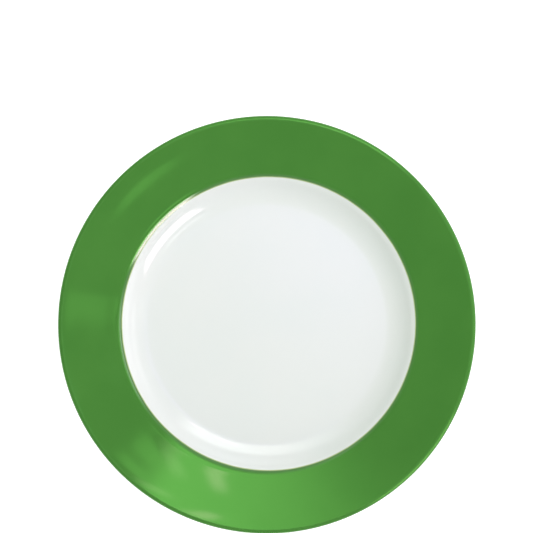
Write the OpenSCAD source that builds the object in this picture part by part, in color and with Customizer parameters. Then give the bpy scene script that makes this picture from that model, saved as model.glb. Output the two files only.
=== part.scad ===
// Porcelain dinner plate with a coloured rim, in millimetres, +Z up.
// The origin is on the axis, in the plane that the foot ring stands on.
// The plate is one section turned about its axis. The section's outline is walked once, from the
// floor's centre out over the rim, round the lip and back underneath to the centre of the recess.

/* [Plate] */
// Widest diameter, over the lip
plate_d = 260; // [255:1:290]
// Thickness of the wall, with the glaze on both faces
wall_t = 4.4; // [3.8:0.1:4.6]
// Thickness of the glaze
glaze_t = 0.3; // [0.2:0.05:0.4]

/* [Well] */
// Diameter of the flat floor
floor_d = 148; // [147:1:150]
// Height of the floor above the table
floor_h = 7.6; // [7.6:0.1:8.6]
// Radius of the cove between the floor and the well's wall
cove_r = 21.7; // [19:0.1:23]
// Steepest slope of the well's wall, in degrees
well_slope = 44; // [40:1:46]
// Radius of the shoulder between the well's wall and the rim
shoulder_r = 13; // [11:0.1:16]

/* [Rim] */
// Slope of the rim beside the shoulder, in degrees
rim_inner_slope = 10; // [8:1:12]
// Slope of the rim at its steepest, in degrees
rim_outer_slope = 14; // [13:1:15]
// Radius of the crown that eases the rim towards the lip
crown_r = 190; // [120:5:200]
// Slope of the rim where the lip starts, in degrees
lip_slope = 11; // [9:1:12]
// Slope of the shoulder at the edge of the coloured glaze, in degrees
colour_slope = 31.6; // [14:0.1:38]
// How far the coloured glaze runs round the lip, in degrees from its crest
colour_wrap = 110; // [60:10:150]

/* [Foot] */
// Diameter of the foot ring, at the outer edge of its standing face
foot_d = 139; // [110:0.5:139]
// Width of the standing face
foot_face = 2; // [1.4:0.1:3]
// Radius of the standing face's two edges
foot_edge_r = 1.2; // [0.8:0.1:1.3]
// Radius of the fillets at the ring's roots
foot_fillet_r = 2; // [1.5:0.1:2]
// Slope of the ring's two sides, in degrees
foot_lean = 80; // [74:1:84]
// How far each edge of the standing face is left bare, in degrees
bare_wrap = 45; // [30:5:60]

/* [Hidden] */
lip_r = wall_t / 2;
// largest turn and longest chord of one facet of the outline
facet_turn = 6;
facet_length = 4;
around = 240;

// where the curves of the upper side meet
shoulder_start = floor_d / 2 + cove_r * sin(well_slope);
shoulder_end = shoulder_start + shoulder_r * (sin(well_slope) - sin(rim_inner_slope));
crown_run = crown_r * (sin(rim_outer_slope) - sin(lip_slope));
lip_run = lip_r * (1 + sin(lip_slope));
sweep_run = plate_d / 2 - lip_run - crown_run - shoulder_end;
sweep_r = sweep_run / (sin(rim_outer_slope) - sin(rim_inner_slope));

// heights and runs of the foot ring's sides
recess_h = floor_h - wall_t;
foot_side = (recess_h - (foot_fillet_r + foot_edge_r) * (1 - cos(foot_lean))) / sin(foot_lean);
foot_run = (foot_fillet_r + foot_edge_r) * sin(foot_lean) + foot_side * cos(foot_lean);

// A station is [radius, height, heading], and the solid lies on the right of the heading.
function last(path) = path[len(path) - 1];
function ahead(from, run) = [[from[0] + run * cos(from[2]), from[1] + run * sin(from[2]), from[2]]];
function bend(from, radius, turn) =
    let (steps = ceil(max(abs(turn) / facet_turn, radius * abs(turn) * PI / 180 / facet_length)))
    [for (i = [1:steps]) bend_station(from, sign(turn) * radius, turn * i / steps)];
function bend_station(from, radius, turn) = [
    from[0] + radius * (sin(from[2] + turn) - sin(from[2])),
    from[1] + radius * (cos(from[2]) - cos(from[2] + turn)),
    from[2] + turn
];
function at_depth(path, depth) =
    [for (s = path) [s[0] + depth * sin(s[2]), s[1] - depth * cos(s[2])]];
function reversed(points) = [for (i = [len(points) - 1:-1:0]) points[i]];
function skin(path) = concat(at_depth(path, 0), reversed(at_depth(path, glaze_t)));

// Upper side of the well, from the centre to the edge of the colour
floor_line = concat([[0, floor_h, 0]], ahead([0, floor_h, 0], floor_d / 2));
cove_line = bend(last(floor_line), cove_r, well_slope);
shoulder_line = bend(last(cove_line), shoulder_r, colour_slope - well_slope);
well_path = concat(floor_line, cove_line, shoulder_line);

// Rim, from the edge of the colour over the lip
rim_start_line = bend(last(well_path), shoulder_r, rim_inner_slope - colour_slope);
sweep_line = bend(last(rim_start_line), sweep_r, rim_outer_slope - rim_inner_slope);
crown_line = bend(last(sweep_line), crown_r, lip_slope - rim_outer_slope);
lip_line = bend(last(crown_line), lip_r, -lip_slope - colour_wrap);
rim_path = concat([last(well_path)], rim_start_line, sweep_line, crown_line, lip_line);

// Underside, one wall below the upper side, in to the bare face of the foot ring
lip_under_line = bend(last(rim_path), lip_r, colour_wrap + lip_slope - 180);
crown_under_line = bend(last(lip_under_line), crown_r - wall_t, rim_outer_slope - lip_slope);
sweep_under_line = bend(last(crown_under_line), sweep_r + wall_t, rim_inner_slope - rim_outer_slope);
shoulder_under_line = bend(last(sweep_under_line), shoulder_r - wall_t, well_slope - rim_inner_slope);
cove_under_line = bend(last(shoulder_under_line), cove_r + wall_t, -well_slope);
ledge_line = ahead(last(cove_under_line), (floor_d - foot_d) / 2 - foot_run);
outer_fillet_line = bend(last(ledge_line), foot_fillet_r, foot_lean);
outer_side_line = ahead(last(outer_fillet_line), foot_side);
outer_edge_line = bend(last(outer_side_line), foot_edge_r, bare_wrap - foot_lean);
under_path = concat(
    [last(rim_path)], lip_under_line, crown_under_line, sweep_under_line, shoulder_under_line,
    cove_under_line, ledge_line, outer_fillet_line, outer_side_line, outer_edge_line
);

// Bare standing face and the two edges beside it
outer_bare_line = bend(last(under_path), foot_edge_r, -bare_wrap);
face_line = ahead(last(outer_bare_line), foot_face);
inner_bare_line = bend(last(face_line), foot_edge_r, -bare_wrap);
bare_path = concat([last(under_path)], outer_bare_line, face_line, inner_bare_line);

// Recess inside the foot ring
inner_edge_line = bend(last(bare_path), foot_edge_r, bare_wrap - foot_lean);
inner_side_line = ahead(last(inner_edge_line), foot_side);
inner_fillet_line = bend(last(inner_side_line), foot_fillet_r, foot_lean);
ceiling_line = ahead(last(inner_fillet_line), last(inner_fillet_line)[0]);
recess_path = concat(
    [last(bare_path)], inner_edge_line, inner_side_line, inner_fillet_line, ceiling_line
);

module turned(outline) {
    rotate_extrude($fn = around) polygon(outline);
}

// Fired white body, which comes to the surface only at the standing face
module porcelain_body() {
    covered_above = at_depth(concat(well_path, rim_path, under_path), glaze_t);
    bare = at_depth(bare_path, 0);
    covered_below = at_depth(recess_path, glaze_t);
    color("#efebe2") turned(concat(covered_above, bare, covered_below));
}

// Clear glaze over the floor, the cove and the well's wall
module well_glaze() {
    color("#eef3f3") turned(skin(well_path));
}

// Green glaze over the rim and round the lip
module rim_colour_glaze() {
    color("#4a8738") turned(skin(rim_path));
}

// Clear glaze from the lip in to the foot ring
module underside_glaze() {
    color("#eef3f3") turned(skin(under_path));
}

// Clear glaze inside the foot ring
module foot_recess_glaze() {
    color("#eef3f3") turned(skin(recess_path));
}

porcelain_body();
well_glaze();
rim_colour_glaze();
underside_glaze();
foot_recess_glaze();
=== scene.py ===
from math import ceil, copysign, cos, pi, radians, sin

import bmesh
import bpy
from mathutils import Euler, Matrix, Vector


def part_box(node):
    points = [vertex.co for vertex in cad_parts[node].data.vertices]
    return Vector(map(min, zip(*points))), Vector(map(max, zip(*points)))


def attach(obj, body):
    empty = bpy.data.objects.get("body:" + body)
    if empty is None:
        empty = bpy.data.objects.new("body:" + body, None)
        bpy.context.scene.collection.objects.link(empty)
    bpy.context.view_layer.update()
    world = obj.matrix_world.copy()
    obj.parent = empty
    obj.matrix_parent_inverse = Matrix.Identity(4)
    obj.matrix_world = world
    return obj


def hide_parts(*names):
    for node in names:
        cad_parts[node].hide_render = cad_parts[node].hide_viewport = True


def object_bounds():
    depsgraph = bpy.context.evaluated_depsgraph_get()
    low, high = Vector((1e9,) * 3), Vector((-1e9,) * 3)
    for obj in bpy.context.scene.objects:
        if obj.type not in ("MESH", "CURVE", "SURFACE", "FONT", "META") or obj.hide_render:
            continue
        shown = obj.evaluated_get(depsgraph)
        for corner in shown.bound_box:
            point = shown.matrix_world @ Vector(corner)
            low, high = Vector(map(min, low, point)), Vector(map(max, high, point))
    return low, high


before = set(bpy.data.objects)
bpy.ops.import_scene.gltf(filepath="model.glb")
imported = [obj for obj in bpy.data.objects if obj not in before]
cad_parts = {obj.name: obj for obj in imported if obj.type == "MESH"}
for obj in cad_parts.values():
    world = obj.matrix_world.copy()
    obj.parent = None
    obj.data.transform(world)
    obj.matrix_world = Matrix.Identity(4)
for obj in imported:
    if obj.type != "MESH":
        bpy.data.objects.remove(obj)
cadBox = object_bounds()
mm = 0.001
scene = bpy.context.scene
scene.view_settings.view_transform = "Standard"
print("frame loaded, nodes:", ", ".join(sorted(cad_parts)))

# What a user would change on the plate. The radius and heights come from the frame.
plate = {
    "radius": cadBox[1].x,
    "floorHeight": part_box("well_glaze")[0].z + 0.3 * mm,
    "wall": 4.4 * mm,
    "glaze": 0.3 * mm,
    "floorRadius": 74 * mm,
    "coveRadius": 21.7 * mm,  # between the floor and the well's wall
    "wellSlope": radians(44),
    "shoulderRadius": 13 * mm,  # between the well's wall and the rim
    "colourSlope": radians(31.6),  # the shoulder's slope where the green starts
    "rimInnerSlope": radians(10),
    "rimOuterSlope": radians(14),
    "crownRadius": 190 * mm,  # eases the rim over to the lip
    "lipSlope": radians(11),
    "colourWrap": radians(110),  # how far the green goes round the lip, from its crest
    "footRadius": 69.5 * mm,
    "footFace": 2 * mm,
    "footEdge": 1.2 * mm,
    "footFillet": 2 * mm,
    "footLean": radians(80),
    "bareWrap": radians(45),
    "shownFacet": radians(2),  # largest turn of one facet, on the upper side
    "plainFacet": radians(4),  # the same underneath
    "facetRun": 3.5 * mm,
    "around": 240,
}


# A section is walked with a pen that has a place and a heading. A move is (length, turn): a
# straight run has no turn, and on a bend the length is its radius and a left turn is positive.
def penAt(radius, height, heading, facetTurn):
    section = bmesh.new()
    tip = bmesh.ops.create_vert(section, co=(radius, 0, height))["vert"][0]
    return {"section": section, "tip": tip, "heading": heading, "facetTurn": facetTurn}


def goStraight(pen, run):
    section = pen["section"]
    steps = max(1, ceil(run / plate["facetRun"]))
    stride = Vector((cos(pen["heading"]), 0, sin(pen["heading"]))) * run / steps
    for step in range(steps):
        pen["tip"] = bmesh.ops.extrude_vert_indiv(section, verts=[pen["tip"]])["verts"][0]
        bmesh.ops.translate(section, verts=[pen["tip"]], vec=stride)


def goRound(pen, radius, turn):
    toCentre = Vector((-sin(pen["heading"]), 0, cos(pen["heading"]))) * copysign(radius, turn)
    steps = ceil(max(abs(turn) / pen["facetTurn"], radius * abs(turn) / plate["facetRun"]))
    arc = bmesh.ops.spin(
        pen["section"], geom=[pen["tip"]], cent=pen["tip"].co + toCentre, axis=(0, -1, 0),
        angle=turn, steps=steps, use_duplicate=False,
    )
    pen["tip"] = [part for part in arc["geom_last"] if isinstance(part, bmesh.types.BMVert)][0]
    pen["heading"] += turn


def walk(pen, moves, depth=0.0):
    for length, turn in moves:
        if turn == 0:
            goStraight(pen, length)
        else:
            goRound(pen, length + depth * copysign(1, turn), turn)


def stepAcross(pen, run, side):  # straight to the left, side 1, or to the right, side -1
    pen["heading"] += side * pi / 2
    goStraight(pen, run)
    pen["heading"] -= side * pi / 2


def backwards(moves):
    return [(length, -turn) for length, turn in reversed(moves)]


def turnAbout(pen, glaze):  # steps in to the skin's lower face and faces the way back
    stepAcross(pen, glaze, -1)
    pen["heading"] += pi


def lathe(name, section):
    bmesh.ops.remove_doubles(section, verts=section.verts, dist=0.02 * mm)
    bmesh.ops.spin(
        section, geom=section.verts[:] + section.edges[:], cent=(0, 0, 0), axis=(0, 0, 1),
        angle=2 * pi, steps=plate["around"], use_merge=True, use_duplicate=False,
    )
    bmesh.ops.remove_doubles(section, verts=section.verts, dist=0.01 * mm)
    bmesh.ops.recalc_face_normals(section, faces=section.faces)
    shape = bpy.data.meshes.new(name)
    section.to_mesh(shape)
    section.free()
    shape.shade_smooth()
    shape.set_sharp_from_angle(angle=radians(30))
    piece = bpy.data.objects.new(name, shape)
    scene.collection.objects.link(piece)
    return piece


# The moves along each stretch of the surface, from the floor's centre over the lip to the recess
shoulderStart = plate["floorRadius"] + plate["coveRadius"] * sin(plate["wellSlope"])
shoulderRun = plate["shoulderRadius"] * (sin(plate["wellSlope"]) - sin(plate["rimInnerSlope"]))
crownRun = plate["crownRadius"] * (sin(plate["rimOuterSlope"]) - sin(plate["lipSlope"]))
lipRadius = plate["wall"] / 2
lipRun = lipRadius * (1 + sin(plate["lipSlope"]))
sweepRun = plate["radius"] - lipRun - crownRun - shoulderStart - shoulderRun
sweepRadius = sweepRun / (sin(plate["rimOuterSlope"]) - sin(plate["rimInnerSlope"]))
footCurves = plate["footFillet"] + plate["footEdge"]
footDrop = plate["floorHeight"] - plate["wall"] - footCurves * (1 - cos(plate["footLean"]))
footSide = footDrop / sin(plate["footLean"])
footRun = footCurves * sin(plate["footLean"]) + footSide * cos(plate["footLean"])
crownTurn = plate["rimOuterSlope"] - plate["lipSlope"]
sweepTurn = plate["rimOuterSlope"] - plate["rimInnerSlope"]

wellMoves = [
    (plate["floorRadius"], 0),
    (plate["coveRadius"], plate["wellSlope"]),
    (plate["shoulderRadius"], plate["colourSlope"] - plate["wellSlope"]),
]
rimMoves = [
    (plate["shoulderRadius"], plate["rimInnerSlope"] - plate["colourSlope"]),
    (sweepRadius, sweepTurn),
    (plate["crownRadius"], -crownTurn),
    (lipRadius, -plate["lipSlope"] - plate["colourWrap"]),
]
undersideMoves = [
    (lipRadius, plate["colourWrap"] + plate["lipSlope"] - pi),
    (plate["crownRadius"] - plate["wall"], crownTurn),
    (sweepRadius + plate["wall"], -sweepTurn),
    (plate["shoulderRadius"] - plate["wall"], plate["wellSlope"] - plate["rimInnerSlope"]),
    (plate["coveRadius"] + plate["wall"], -plate["wellSlope"]),
    (plate["floorRadius"] - plate["footRadius"] - footRun, 0),
    (plate["footFillet"], plate["footLean"]),
    (footSide, 0),
    (plate["footEdge"], plate["bareWrap"] - plate["footLean"]),
]
bareMoves = [
    (plate["footEdge"], -plate["bareWrap"]),
    (plate["footFace"], 0),
    (plate["footEdge"], -plate["bareWrap"]),
]
recessMoves = [
    (plate["footEdge"], plate["bareWrap"] - plate["footLean"]),
    (footSide, 0),
    (plate["footFillet"], plate["footLean"]),
    (plate["footRadius"] - plate["footFace"] - footRun, 0),
]


def placeAfter(moves):  # radius, height and heading at the end of moves from the floor's centre
    radius, height, heading = 0.0, plate["floorHeight"], 0.0
    for length, turn in moves:
        if turn == 0:
            radius += length * cos(heading)
            height += length * sin(heading)
        else:
            side = copysign(length, turn)
            radius += side * (sin(heading + turn) - sin(heading))
            height += side * (cos(heading) - cos(heading + turn))
            heading += turn
    return radius, height, heading


def glazeSkin(name, movesBefore, moves, facetTurn):  # one stretch of glaze, both faces of it
    radius, height, heading = placeAfter(movesBefore)
    pen = penAt(radius, height, heading, facetTurn)
    walk(pen, moves)
    turnAbout(pen, plate["glaze"])
    walk(pen, backwards(moves), -plate["glaze"])
    if radius > mm:
        stepAcross(pen, plate["glaze"], -1)  # closes the section, away from the axis
    return lathe(name, pen["section"])


def porcelainWall(name):
    pen = penAt(0, plate["floorHeight"] - plate["glaze"], 0, plate["plainFacet"])
    walk(pen, wellMoves + rimMoves + undersideMoves, plate["glaze"])
    stepAcross(pen, plate["glaze"], 1)
    walk(pen, bareMoves)
    stepAcross(pen, plate["glaze"], -1)
    walk(pen, recessMoves, plate["glaze"])
    return lathe(name, pen["section"])


shown, plain = plate["shownFacet"], plate["plainFacet"]
beforeUnderside = wellMoves + rimMoves
beforeRecess = beforeUnderside + undersideMoves + bareMoves
pieces = {
    "porcelain": porcelainWall("porcelain"),
    "wellGlaze": glazeSkin("wellGlaze", [], wellMoves, shown),
    "greenRim": glazeSkin("greenRim", wellMoves, rimMoves, shown),
    "undersideGlaze": glazeSkin("undersideGlaze", beforeUnderside, undersideMoves, plain),
    "recessGlaze": glazeSkin("recessGlaze", beforeRecess, recessMoves, plain),
}
lipCrest = cadBox[1].z
print("plate turned:", ", ".join(f"{name} {len(piece.data.polygons)}" for name, piece in pieces.items()))

# Gentle waves that the firing leaves, the same in every piece so that they stay face to face
firingWaves = {"height": 0.05 * mm, "length": 34 * mm}
waves = bpy.data.textures.new("firingWaves", "CLOUDS")
waves.noise_scale = firingWaves["length"]
waves.noise_depth = 0
for piece in pieces.values():
    ripple = piece.modifiers.new("firingWaves", "DISPLACE")
    ripple.texture = waves
    ripple.texture_coords = "LOCAL"
    ripple.direction = "Z"
    ripple.strength = firingWaves["height"]


class Socket:  # one output of a node; sums on it add Math nodes
    def __init__(self, tree, output=None):
        self.tree = tree
        self.output = output

    def make(self, kind, settings, inputs, output=0):
        node = self.tree.nodes.new(kind)
        for name, value in settings.items():
            setattr(node, name, value)
        for name, value in inputs.items():
            if isinstance(value, Socket):
                self.tree.links.new(value.output, node.inputs[name])
            else:
                node.inputs[name].default_value = value
        return Socket(self.tree, node.outputs[output])

    def math(self, operation, *values):
        return self.make("ShaderNodeMath", {"operation": operation}, dict(enumerate(values)))

    def __add__(self, other):
        return self.math("ADD", self, other)

    def __sub__(self, other):
        return self.math("SUBTRACT", self, other)

    def __rsub__(self, other):
        return self.math("SUBTRACT", other, self)

    def __mul__(self, other):
        return self.math("MULTIPLY", self, other)

    def __truediv__(self, other):
        return self.math("DIVIDE", self, other)

    __radd__ = __add__
    __rmul__ = __mul__

    def rise(self, low, high):  # 0 below low and 1 above high, eased; also falls, if high is lower
        return self.make(
            "ShaderNodeMapRange", {"interpolation_type": "SMOOTHSTEP"},
            {"Value": self, "From Min": low, "From Max": high},
        )

    def blend(self, first, second):  # this value's mix of two colours
        return self.make(
            "ShaderNodeMix", {"data_type": "RGBA"}, {0: self, 6: first, 7: second}, output=2
        )

    def noise(self, size, detail=2.0):  # grain of that size on this place
        return self.make(
            "ShaderNodeTexNoise", {}, {"Vector": self, "Scale": 1 / size, "Detail": detail}
        )

    def shader(self, inputs):
        return self.make("ShaderNodeBsdfPrincipled", {}, inputs)

    def bump(self, height):  # this value as relief of that height
        return self.make(
            "ShaderNodeBump", {}, {"Height": self, "Strength": 1.0, "Distance": height}
        )


def newMaterial(name):
    material = bpy.data.materials.new(name)
    material.use_nodes = True
    material.node_tree.nodes.clear()
    return material, Socket(material.node_tree)


def finishMaterial(material, shader):
    ending = material.node_tree.nodes.new("ShaderNodeOutputMaterial")
    material.node_tree.links.new(shader.output, ending.inputs["Surface"])
    return material


def rgb(red, green, blue):
    return (red, green, blue, 1.0)


def objectPlace(bench):
    return bench.make("ShaderNodeTexCoord", {}, {}, output="Object")


def fromAxis(bench, place):  # distance from the plate's axis
    flat = bench.make("ShaderNodeVectorMath", {"operation": "MULTIPLY"}, {0: place, 1: (1, 1, 0)})
    return bench.make("ShaderNodeVectorMath", {"operation": "LENGTH"}, {0: flat}, output="Value")


whiteGlaze = {
    "colour": rgb(0.855, 0.885, 0.870),
    "cloudColour": rgb(0.868, 0.890, 0.874),
    "cloudSize": 45 * mm,
    "speckColour": rgb(0.55, 0.50, 0.42),
    "speckSpacing": 24 * mm,
    "speckSize": 0.14 * mm,
    "roughness": (0.035, 0.06),
    "peelSize": 5 * mm,
    "peelHeight": 0.0012 * mm,
}


def whiteGround(bench, place):  # white with faint clouds and a few pin-head iron specks
    clouds = place.noise(whiteGlaze["cloudSize"], 3.0).rise(0.35, 0.65)
    ground = clouds.blend(whiteGlaze["colour"], whiteGlaze["cloudColour"])
    toSpeck = bench.make(
        "ShaderNodeTexVoronoi", {},
        {"Vector": place, "Scale": 1 / whiteGlaze["speckSpacing"], "Randomness": 1.0},
        output="Distance",
    )
    speckRadius = whiteGlaze["speckSize"] / whiteGlaze["speckSpacing"]
    return toSpeck.rise(speckRadius, speckRadius * 0.4).blend(ground, whiteGlaze["speckColour"])


greenGlaze = {
    "colour": rgb(0.068, 0.223, 0.040),
    "deepColour": rgb(0.062, 0.210, 0.037),
    "cloudSize": 30 * mm,
    "poolAndShadeColour": rgb(0.058, 0.200, 0.035),  # darker just out from the edge: thick glaze there, and partly painted shade
    "poolAndShadeWidth": 1.8 * mm,
    "thinGlazeAndHighlightColour": rgb(0.08, 0.25, 0.05),  # where it runs thin on the lip's crest, and partly a painted highlight along that crest
    "crestBandHeight": 0.2 * mm,
    "crestPatchSize": 12 * mm,
    "tint": rgb(0.30, 1.0, 0.18),
    "shine": 0.65,
    "roughness": (0.04, 0.07),
    "peelSize": 4 * mm,
    "peelHeight": 0.0014 * mm,
    "lapStart": (-0.3 * mm, 0.3 * mm),  # the well's clear glaze laps over the green from here
    "lapEnd": (2.6 * mm, 0.52 * mm),  # and thins out to here
    "lapIor": 1.65,
    "takesOver": (0.9 * mm, 2.0 * mm),  # where the surface turns from clear glaze to green
}

# The green is banded by hand, so its edge is a little off the plate's axis and not quite round
band = {
    "centre": (1.12 * mm, 0.53 * mm, 0),
    "radius": 91.53 * mm,
    "wobble": 0.22 * mm,
    "wobbleLength": 9 * mm,
    "fringeColour": rgb(0.50, 0.62, 0.27),  # the green's thin start, over the white
    "thinStart": (-0.45 * mm, 0.18 * mm),
    "fullGreen": (-0.09 * mm, 0.72 * mm),
}


def pastBandEdge(bench, place):  # distance out from the edge of the green, less than 0 on the white
    centred = bench.make("ShaderNodeVectorMath", {"operation": "SUBTRACT"}, {0: place, 1: band["centre"]})
    wobble = (place.noise(band["wobbleLength"]) - 0.5) * band["wobble"]
    return fromAxis(bench, centred) - band["radius"] + wobble


def greenGround(bench, place, past):
    clouds = place.noise(greenGlaze["cloudSize"], 4.0).rise(0.3, 0.7)
    colour = clouds.blend(greenGlaze["deepColour"], greenGlaze["colour"])
    # Darker in a band just out from the green's edge, partly thick glaze and partly painted shade
    colour = past.rise(greenGlaze["poolAndShadeWidth"], 0).blend(colour, greenGlaze["poolAndShadeColour"])
    height = bench.make("ShaderNodeSeparateXYZ", {}, {"Vector": place}, output="Z")
    # Lighter patches along the lip's crest: thin glaze, and partly a painted highlight
    nearCrest = height.rise(lipCrest - greenGlaze["crestBandHeight"], lipCrest)
    thinAndLitCrest = nearCrest * place.noise(greenGlaze["crestPatchSize"])
    return thinAndLitCrest.blend(colour, greenGlaze["thinGlazeAndHighlightColour"])


def bandedColour(bench, place):  # white inside the band's edge and green outside it
    past = pastBandEdge(bench, place)
    colour = past.rise(*band["thinStart"]).blend(whiteGround(bench, place), band["fringeColour"])
    return past.rise(*band["fullGreen"]).blend(colour, greenGround(bench, place, past))


def glazeSurface(bench, place, glaze):  # the gloss and the orange peel of one glaze
    smooth, dull = glaze["roughness"]
    gloss = place.noise(glaze["cloudSize"] / 2, 4.0) * (dull - smooth) + smooth
    peel = place.noise(glaze["peelSize"], 1.5)
    return {"Roughness": gloss, "IOR": 1.5, "Normal": peel.bump(glaze["peelHeight"])}


def clearGlaze(bench, place, ground):  # ground is the colour under the glaze
    return {"Base Color": ground(bench, place), **glazeSurface(bench, place, whiteGlaze)}


def clearGlazeMaterial(name, ground):
    material, bench = newMaterial(name)
    return finishMaterial(material, bench.shader(clearGlaze(bench, objectPlace(bench), ground)))


def greenGlazeMaterial():  # green outside the band's edge, and the well's clear glaze inside it
    material, bench = newMaterial("greenGlaze")
    place = objectPlace(bench)
    past = pastBandEdge(bench, place)
    lap = {
        "Coat Weight": past.rise(*greenGlaze["lapStart"]) * past.rise(*greenGlaze["lapEnd"]),
        "Coat IOR": greenGlaze["lapIor"],
        "Coat Roughness": greenGlaze["roughness"][0],
    }
    green = bench.shader({
        "Base Color": bandedColour(bench, place),
        "Specular IOR Level": greenGlaze["shine"],
        "Specular Tint": greenGlaze["tint"],
        **glazeSurface(bench, place, greenGlaze),
        **lap,
    })
    clear = bench.shader({**clearGlaze(bench, place, bandedColour), **lap})
    isGreen = past.rise(*greenGlaze["takesOver"])
    return finishMaterial(material, bench.make("ShaderNodeMixShader", {}, {0: isGreen, 1: clear, 2: green}))


bisque = {
    "colour": rgb(0.80, 0.76, 0.68),
    "wornColour": rgb(0.55, 0.51, 0.45),
    "wornHeight": 0.12 * mm,
    "scuffSize": 3 * mm,
    "grainSize": 0.25 * mm,
    "grainHeight": 0.02 * mm,
}


def bisqueMaterial():
    material, bench = newMaterial("bareBisque")
    place = objectPlace(bench)
    grain = place.noise(bisque["grainSize"], 4.0)
    scuffs = place.noise(bisque["scuffSize"], 5.0).rise(0.45, 0.7)
    height = bench.make("ShaderNodeSeparateXYZ", {}, {"Vector": place}, output="Z")
    worn = height.rise(bisque["wornHeight"], 0.01 * mm) * scuffs
    return finishMaterial(material, bench.shader({
        "Base Color": worn.blend(bisque["colour"], bisque["wornColour"]),
        "Roughness": grain * 0.15 + 0.6,
        "Normal": grain.bump(bisque["grainHeight"]),
    }))


wellFinish = clearGlazeMaterial("clearGlazeInWell", bandedColour)
undersideFinish = clearGlazeMaterial("clearGlazeUnderneath", whiteGround)
greenFinish = greenGlazeMaterial()
bisqueFinish = bisqueMaterial()
finishes = {
    "porcelain": (bisqueFinish, "bisque_porcelain", "porcelain_body"),
    "wellGlaze": (wellFinish, "clear_glaze", "well_glaze"),
    "greenRim": (greenFinish, "green_glaze", "rim_colour_glaze"),
    "undersideGlaze": (undersideFinish, "clear_glaze", "underside_glaze"),
    "recessGlaze": (undersideFinish, "clear_glaze", "foot_recess_glaze"),
}
for name, (material, slot, node) in finishes.items():
    piece = pieces[name]
    piece.data.materials.append(material)
    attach(piece, "root")
    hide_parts(node)
print("glazes and bisque ready")

# Table and room. The table glows, as painted light, so that it stays white round the plate, but not
# underneath it, which paints a shadow under the plate.
table = {
    "size": 6.0,
    "colour": rgb(0.85, 0.85, 0.85),
    "glow": 0.55,
    "glowFrom": (90 * mm, 130.5 * mm),  # from the plate's axis; the missing glow inside it is a painted shadow
    "drop": 0.1 * mm,  # below the foot ring
}


def makeTable():
    sheet = bmesh.new()
    bmesh.ops.create_grid(sheet, x_segments=1, y_segments=1, size=table["size"] / 2)
    bmesh.ops.translate(sheet, verts=sheet.verts, vec=(0, 0, -table["drop"]))
    shape = bpy.data.meshes.new("table")
    sheet.to_mesh(shape)
    sheet.free()
    top = bpy.data.objects.new("table", shape)
    scene.collection.objects.link(top)
    material, bench = newMaterial("glowingTable")
    # Painted shadow: the glow fades out under the plate and is full just outside its rim
    glow = fromAxis(bench, objectPlace(bench)).rise(*table["glowFrom"])
    shape.materials.append(finishMaterial(material, bench.shader({
        "Base Color": table["colour"],
        "Roughness": 0.7,
        "Specular IOR Level": 0.1,
        "Emission Color": glow.blend(rgb(0, 0, 0), rgb(1, 1, 1)),
        "Emission Strength": table["glow"],
    })))


makeTable()

# The room is a little darker and greener on the left, and pale all round at the horizon
room = {
    "leftColour": rgb(0.50, 0.59, 0.45),
    "rightColour": rgb(1.0, 0.94, 1.0),
    "horizonColour": rgb(1.1, 1.12, 1.1),
    "horizonHeights": (0.04, 0.16),
    "strength": 0.76,
}


def makeRoom():
    surroundings = bpy.data.worlds.new("room")
    surroundings.use_nodes = True
    bench = Socket(surroundings.node_tree)
    towards = bench.make("ShaderNodeTexCoord", {}, {}, output="Generated")
    rightwards = bench.make("ShaderNodeSeparateXYZ", {}, {"Vector": towards}, output="X").rise(-1, 1)
    upwards = bench.make("ShaderNodeSeparateXYZ", {}, {"Vector": towards}, output="Z")
    background = surroundings.node_tree.nodes["Background"]
    colour = rightwards.blend(room["leftColour"], room["rightColour"])
    colour = upwards.rise(*room["horizonHeights"]).blend(room["horizonColour"], colour)
    surroundings.node_tree.links.new(colour.output, background.inputs["Color"])
    background.inputs["Strength"].default_value = room["strength"]
    scene.world = surroundings


makeRoom()

# A light panel has a size in metres and a glow, which is how bright it looks. Its feather is the
# share of its width, or of its depth, over which the left, right, near and far edges fade. The
# taper is the share of its width that is left at its near edge. Overhead panels hang level at a
# place, and the others stand off from the plate, turned to face it.
soft = (0.3, 0.3, 0.3, 0.3)
overhead = {
    "core": {"at": (0.0, 0.78, 1.5), "size": (3.0, 1.32), "turn": 0, "glow": 4.35,
             "feather": (0.75, 0.2, 0.03, 0.45), "taper": 0.09, "colour": rgb(0.93, 0.96, 0.95)},
    "halo": {"at": (0.13, 0.13, 1.5), "size": (0.6, 0.6), "turn": -45, "glow": 2.2,
             "feather": (0.5, 0.5, 0.5, 0.5), "colour": rgb(0.55, 0.4, 1.0)},
    "lampOne": {"at": (0.125, 0.345, 1.49), "size": (0.07, 0.19), "turn": 0, "glow": 9.3,
                "feather": (0.4, 0.4, 0.4, 0.4), "colour": rgb(0.9, 0.2, 1.0), "glossOnly": True},
    "lampTwo": {"at": (0.235, 0.315, 1.49), "size": (0.08, 0.19), "turn": 0, "glow": 3.7,
                "feather": (0.4, 0.4, 0.4, 0.4), "colour": rgb(0.9, 0.3, 1.0), "glossOnly": True},
    "corner": {"at": (0.32, 0.30, 1.49), "size": (0.12, 0.2), "turn": -47, "glow": 1.8,
               "feather": (0.4, 0.4, 0.4, 0.4), "glossOnly": True},
    "strip": {"at": (0.7, -0.1, 1.5), "size": (0.7, 0.12), "turn": -10, "glow": 0.9,
              "feather": (0.1, 0.1, 0.1, 0.6)},
    "skirt": {"at": (0.43, -0.51, 1.5), "size": (0.36, 0.30), "turn": 40, "glow": 2.3,
              "feather": (0.3, 0.3, 0.2, 0.2)},
}
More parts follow.
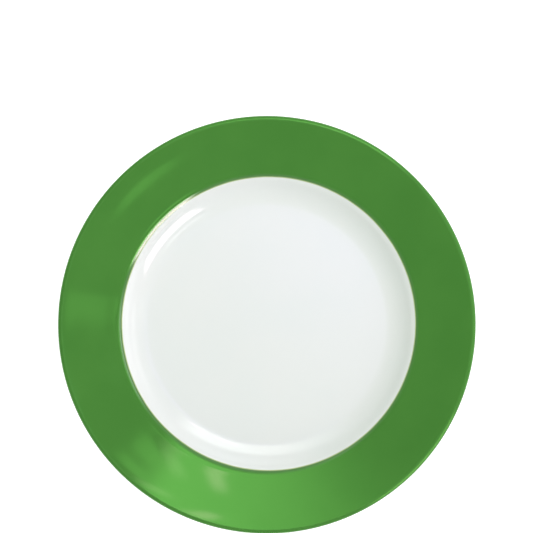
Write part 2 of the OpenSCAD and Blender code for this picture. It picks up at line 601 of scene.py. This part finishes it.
standing = {
    "glint": {"azimuth": -43, "rise": 39.5, "away": 1.8, "size": (0.96, 0.84), "glow": 8.4,
              "feather": (0.16, 0.16, 0.16, 0.16), "colour": rgb(1.0, 0.80, 0.86), "glossOnly": True},
    "side": {"azimuth": -43, "rise": 39.5, "away": 1.8, "size": (0.92, 0.80), "glow": 3.2,
             "feather": soft, "colour": rgb(0.7, 0.6, 1.0), "matteOnly": True},
    "back": {"azimuth": 85, "rise": 25, "away": 2.0, "size": (2.4, 0.8), "glow": 0.6, "feather": soft},
    "rightHigh": {"azimuth": 10, "rise": 40, "away": 2.0, "size": (1.6, 0.8), "glow": 1.6, "feather": soft},
    "right": {"azimuth": 0, "rise": 15, "away": 2.0, "size": (2.4, 0.8), "glow": 1.4, "feather": soft},
    "front": {"azimuth": -95, "rise": 15, "away": 2.0, "size": (2.4, 0.8), "glow": 2.3,
              "feather": soft, "matteOnly": True},
}


def hangPanel(name, panel, place, facing):
    light = bpy.data.lights.new(name, "AREA")
    light.shape = "RECTANGLE"
    light.size, light.size_y = panel["size"]
    light.energy = panel["glow"] * pi * light.size * light.size_y
    light.use_nodes = True
    bench = Socket(light.node_tree)
    across = bench.make("ShaderNodeNewGeometry", {}, {}, output="Parametric")
    sides = bench.make("ShaderNodeSeparateXYZ", {}, {"Vector": across}, output="X")
    ends = bench.make("ShaderNodeSeparateXYZ", {}, {"Vector": across}, output="Y")
    taper = panel.get("taper", 1.0)
    sides = (sides - 0.5) / (ends * (1 - taper) + taper) + 0.5
    left, right, near, far = panel["feather"]
    fade = sides.rise(0, left) * sides.rise(1, 1 - right)
    fade = fade * ends.rise(0, near) * ends.rise(1, 1 - far)
    emission = light.node_tree.nodes["Emission"]
    light.node_tree.links.new(fade.output, emission.inputs["Strength"])
    emission.inputs["Color"].default_value = panel.get("colour", rgb(1, 1, 1))
    stand = bpy.data.objects.new(name, light)
    stand.location = place
    stand.rotation_euler = facing
    stand.visible_diffuse = not panel.get("glossOnly", False)
    stand.visible_glossy = not panel.get("matteOnly", False)
    scene.collection.objects.link(stand)


for name, panel in overhead.items():
    hangPanel(name, panel, panel["at"], Euler((0, 0, radians(panel["turn"]))))
for name, panel in standing.items():
    azimuth, rise = radians(panel["azimuth"]), radians(panel["rise"])
    outwards = Vector((cos(azimuth) * cos(rise), sin(azimuth) * cos(rise), sin(rise)))
    hangPanel(name, panel, outwards * panel["away"], (-outwards).to_track_quat("-Z", "Y").to_euler())

eye = bpy.data.cameras.new("eye")
eye.lens = 200
eye.sensor_width = 36
camera = bpy.data.objects.new("camera", eye)
camera.location = (-0.00025, 0.0362, 1.864)
scene.collection.objects.link(camera)
scene.camera = camera
print("table, lights and camera placed")
